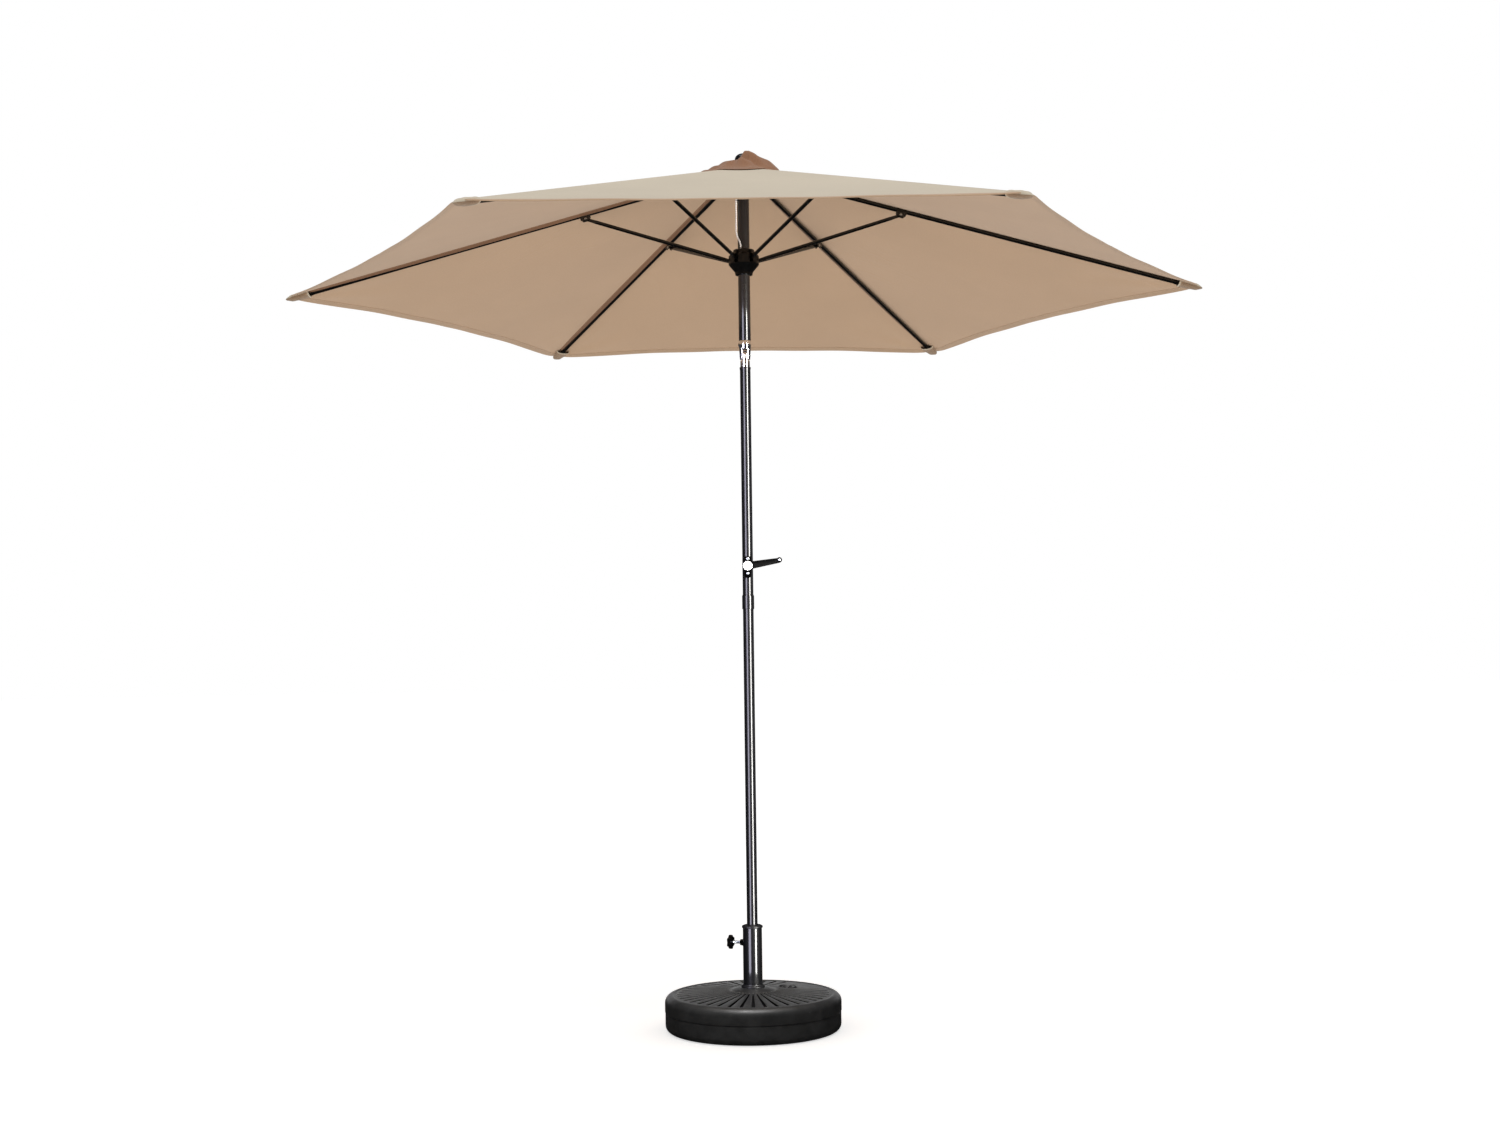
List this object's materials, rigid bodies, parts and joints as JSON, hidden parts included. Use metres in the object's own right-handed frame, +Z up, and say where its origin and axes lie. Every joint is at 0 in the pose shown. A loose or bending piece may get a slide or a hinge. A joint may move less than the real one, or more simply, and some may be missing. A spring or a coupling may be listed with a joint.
{
  "type": "patio umbrella with base",
  "caption": "Hexagonal patio umbrella on a two-piece pole with crank lift and push-button tilt, standing in a filled round base with a lock knob.",
  "frame": {"origin": "centre of the base's underside, on the floor", "axes": "+Z up the pole, -Y the crank side, +X towards rib 1 and the crank arm"},
  "size_m": [2.44, 2.1132, 2.309],
  "materials": {
    "base_bottom_shell": "moulded textured",
    "base_top_shell": "moulded textured",
    "sand_fill": "loose sand",
    "stand_tube": "gloss powder coat",
    "tube_foot": "moulded",
    "tube_plug": "zinc plated",
    "anchor_bolt": "zinc plated",
    "mast_seat": "moulded",
    "tube_collar": "moulded",
    "lock_nut": "gloss powder coat",
    "filler_cap": "moulded",
    "lock_pad": "turned",
    "lock_screw": "zinc plated",
    "lock_knob": "moulded",
    "pole_end_plug": "moulded",
    "lower_pole": "gloss powder coat",
    "middle_pole": "gloss powder coat",
    "crank_housing": "moulded",
    "housing_rivets": "upset",
    "tilt_knuckle": "plated",
    "lift_cord_lower": "braided",
    "crank_shaft": "zinc plated",
    "cord_spool": "moulded",
    "wound_cord": "braided",
    "crank_arm": "moulded",
    "crank_badge": "moulded, blank",
    "grip_pin": "bright",
    "crank_grip": "moulded",
    "tilt_button": "moulded",
    "tilt_spring": "coiled wire",
    "tilt_sleeve": "plated",
    "tilt_pins": "bright",
    "upper_pole": "gloss powder coat",
    "top_hub": "moulded",
    "hub_wire": "drawn wire",
    "finial": "moulded",
    "pulley_pin": "bright",
    "lift_cord_upper": "braided",
    "lift_cord_fall": "braided",
    "vent_cap": "woven",
    "pulley": "moulded",
    "runner": "moulded",
    "rib_paint": "gloss powder coat",
    "canopy_cloth": "woven",
    "strut_paint": "gloss powder coat"
  },
  "bodies": {
    "stand": {"base_bottom_shell": "base_bottom_shell", "base_top_shell": "base_top_shell", "sand_fill": "sand_fill", "stand_tube": "stand_tube", "tube_foot": "tube_foot", "tube_plug": "tube_plug", "anchor_bolt": "anchor_bolt", "mast_seat": "mast_seat", "tube_collar": "tube_collar", "lock_nut": "lock_nut"},
    "filler_cap": {"filler_cap": "filler_cap"},
    "lock_pad": {"lock_pad": "lock_pad"},
    "lock_knob": {"lock_screw": "lock_screw", "lock_knob": "lock_knob"},
    "mast_lower": {"pole_end_plug": "pole_end_plug", "lower_pole": "lower_pole", "middle_pole": "middle_pole", "crank_housing": "crank_housing", "housing_rivets": "housing_rivets", "tilt_knuckle": "tilt_knuckle", "lift_cord_lower": "lift_cord_lower"},
    "crank": {"crank_shaft": "crank_shaft", "cord_spool": "cord_spool", "wound_cord": "wound_cord", "crank_arm": "crank_arm", "crank_badge": "crank_badge", "grip_pin": "grip_pin"},
    "crank_grip": {"crank_grip": "crank_grip"},
    "tilt_button": {"tilt_button": "tilt_button", "tilt_spring": "tilt_spring"},
    "mast_upper": {"tilt_sleeve": "tilt_sleeve", "tilt_pins": "tilt_pins", "upper_pole": "upper_pole", "top_hub": "top_hub", "hub_wire": "hub_wire", "finial": "finial", "pulley_pin": "pulley_pin", "lift_cord_upper": "lift_cord_upper", "lift_cord_fall": "lift_cord_fall", "vent_cap": "vent_cap"},
    "pulley": {"pulley": "pulley"},
    "runner": {"runner": "runner"},
    "rib_1": {"rib_1": "rib_paint", "canopy_panel_1": "canopy_cloth"},
    "strut_1": {"strut_1": "strut_paint"},
    "rib_2": {"rib_2": "rib_paint", "canopy_panel_2": "canopy_cloth"},
    "strut_2": {"strut_2": "strut_paint"},
    "rib_3": {"rib_3": "rib_paint", "canopy_panel_3": "canopy_cloth"},
    "strut_3": {"strut_3": "strut_paint"},
    "rib_4": {"rib_4": "rib_paint", "canopy_panel_4": "canopy_cloth"},
    "strut_4": {"strut_4": "strut_paint"},
    "rib_5": {"rib_5": "rib_paint", "canopy_panel_5": "canopy_cloth"},
    "strut_5": {"strut_5": "strut_paint"},
    "rib_6": {"rib_6": "rib_paint", "canopy_panel_6": "canopy_cloth"},
    "strut_6": {"strut_6": "strut_paint"}
  },
  "joints": [
    {"name": "mast_swivel", "type": "hinge", "parent": "stand", "child": "mast_lower", "pos_m": [0, 0, 0.1], "axis": [0, 0, 1], "continuous": true},
    {"name": "filler_cap_pull", "type": "slide", "parent": "stand", "child": "filler_cap", "axis": [0, 0, 1], "range_m": [0, 0.04]},
    {"name": "lock_screw_advance", "type": "slide", "parent": "stand", "child": "lock_pad", "axis": [-0.9397, 0.342, 0], "range_m": [0, 0.0025]},
    {"name": "lock_knob_turn", "type": "hinge", "parent": "lock_pad", "child": "lock_knob", "pos_m": [-0.05638, 0.02052, 0.224], "axis": [-0.9397, 0.342, 0], "range_deg": [0, 720]},
    {"name": "crank_turn", "type": "hinge", "parent": "mast_lower", "child": "crank", "pos_m": [0, -0.02, 1.208], "axis": [0, -1, 0], "range_deg": [-4509.83, 0]},
    {"name": "grip_spin", "type": "hinge", "parent": "crank", "child": "crank_grip", "pos_m": [0.08297, -0.04, 1.22114], "axis": [0, -1, 0], "continuous": true},
    {"name": "tilt", "type": "hinge", "parent": "mast_lower", "child": "mast_upper", "pos_m": [0, 0, 1.768], "axis": [1, 0, 0], "range_deg": [0, 30]},
    {"name": "tilt_button_press", "type": "slide", "parent": "mast_upper", "child": "tilt_button", "axis": [1, 0, 0], "range_m": [0, 0.003], "stiffness_N_per_m": 400, "springref_m": -0.001, "deforming": ["tilt_spring"]},
    {"name": "canopy_fold", "type": "slide", "parent": "mast_upper", "child": "runner", "axis": [0, 0, 1], "range_m": [-0.57066, 0], "deforming": ["canopy_panel_1", "canopy_panel_2", "canopy_panel_3", "canopy_panel_4", "canopy_panel_5", "canopy_panel_6", "lift_cord_fall", "vent_cap"]},
    {"name": "pulley_spin", "type": "hinge", "parent": "mast_upper", "child": "pulley", "pos_m": [-0.00924, -0.00431, 2.19], "axis": [0.4226, -0.9063, 0], "range_deg": [-3205.52, 0]},
    {"name": "rib_1_fold", "type": "hinge", "parent": "mast_upper", "child": "rib_1", "pos_m": [0.03, 0, 2.2565], "axis": [0, 1, 0], "range_deg": [0, 66.61]},
    {"name": "strut_1_fold", "type": "hinge", "parent": "rib_1", "child": "strut_1", "pos_m": [0.41902, 0, 2.13756], "axis": [0, 1, 0], "range_deg": [-133.22, 0]},
    {"name": "rib_2_fold", "type": "hinge", "parent": "mast_upper", "child": "rib_2", "pos_m": [0.015, 0.02598, 2.2565], "axis": [-0.866, 0.5, 0], "range_deg": [0, 66.61]},
    {"name": "strut_2_fold", "type": "hinge", "parent": "rib_2", "child": "strut_2", "pos_m": [0.20951, 0.36289, 2.13756], "axis": [-0.866, 0.5, 0], "range_deg": [-133.22, 0]},
    {"name": "rib_3_fold", "type": "hinge", "parent": "mast_upper", "child": "rib_3", "pos_m": [-0.015, 0.02598, 2.2565], "axis": [-0.866, -0.5, 0], "range_deg": [0, 66.61]},
    {"name": "strut_3_fold", "type": "hinge", "parent": "rib_3", "child": "strut_3", "pos_m": [-0.20951, 0.36289, 2.13756], "axis": [-0.866, -0.5, 0], "range_deg": [-133.22, 0]},
    {"name": "rib_4_fold", "type": "hinge", "parent": "mast_upper", "child": "rib_4", "pos_m": [-0.03, 0, 2.2565], "axis": [0, -1, 0], "range_deg": [0, 66.61]},
    {"name": "strut_4_fold", "type": "hinge", "parent": "rib_4", "child": "strut_4", "pos_m": [-0.41902, 0, 2.13756], "axis": [0, -1, 0], "range_deg": [-133.22, 0]},
    {"name": "rib_5_fold", "type": "hinge", "parent": "mast_upper", "child": "rib_5", "pos_m": [-0.015, -0.02598, 2.2565], "axis": [0.866, -0.5, 0], "range_deg": [0, 66.61]},
    {"name": "strut_5_fold", "type": "hinge", "parent": "rib_5", "child": "strut_5", "pos_m": [-0.20951, -0.36289, 2.13756], "axis": [0.866, -0.5, 0], "range_deg": [-133.22, 0]},
    {"name": "rib_6_fold", "type": "hinge", "parent": "mast_upper", "child": "rib_6", "pos_m": [0.015, -0.02598, 2.2565], "axis": [0.866, 0.5, 0], "range_deg": [0, 66.61]},
    {"name": "strut_6_fold", "type": "hinge", "parent": "rib_6", "child": "strut_6", "pos_m": [0.20951, -0.36289, 2.13756], "axis": [0.866, 0.5, 0], "range_deg": [-133.22, 0]}
  ],
  "couplings": [
    {"joint": "lock_knob_turn", "follows": "lock_screw_advance", "rad_per_m": 5026.5},
    {"joint": "crank_turn", "follows": "canopy_fold", "rad_per_m": 137.93},
    {"joint": "pulley_spin", "follows": "canopy_fold", "rad_per_m": 98.039},
    {"joint": "rib_1_fold", "follows": "canopy_fold", "rad_per_m": -2.0369},
    {"joint": "strut_1_fold", "follows": "canopy_fold", "rad_per_m": 4.0739},
    {"joint": "rib_2_fold", "follows": "canopy_fold", "rad_per_m": -2.0369},
    {"joint": "strut_2_fold", "follows": "canopy_fold", "rad_per_m": 4.0739},
    {"joint": "rib_3_fold", "follows": "canopy_fold", "rad_per_m": -2.0369},
    {"joint": "strut_3_fold", "follows": "canopy_fold", "rad_per_m": 4.0739},
    {"joint": "rib_4_fold", "follows": "canopy_fold", "rad_per_m": -2.0369},
    {"joint": "strut_4_fold", "follows": "canopy_fold", "rad_per_m": 4.0739},
    {"joint": "rib_5_fold", "follows": "canopy_fold", "rad_per_m": -2.0369},
    {"joint": "strut_5_fold", "follows": "canopy_fold", "rad_per_m": 4.0739},
    {"joint": "rib_6_fold", "follows": "canopy_fold", "rad_per_m": -2.0369},
    {"joint": "strut_6_fold", "follows": "canopy_fold", "rad_per_m": 4.0739}
  ]
}
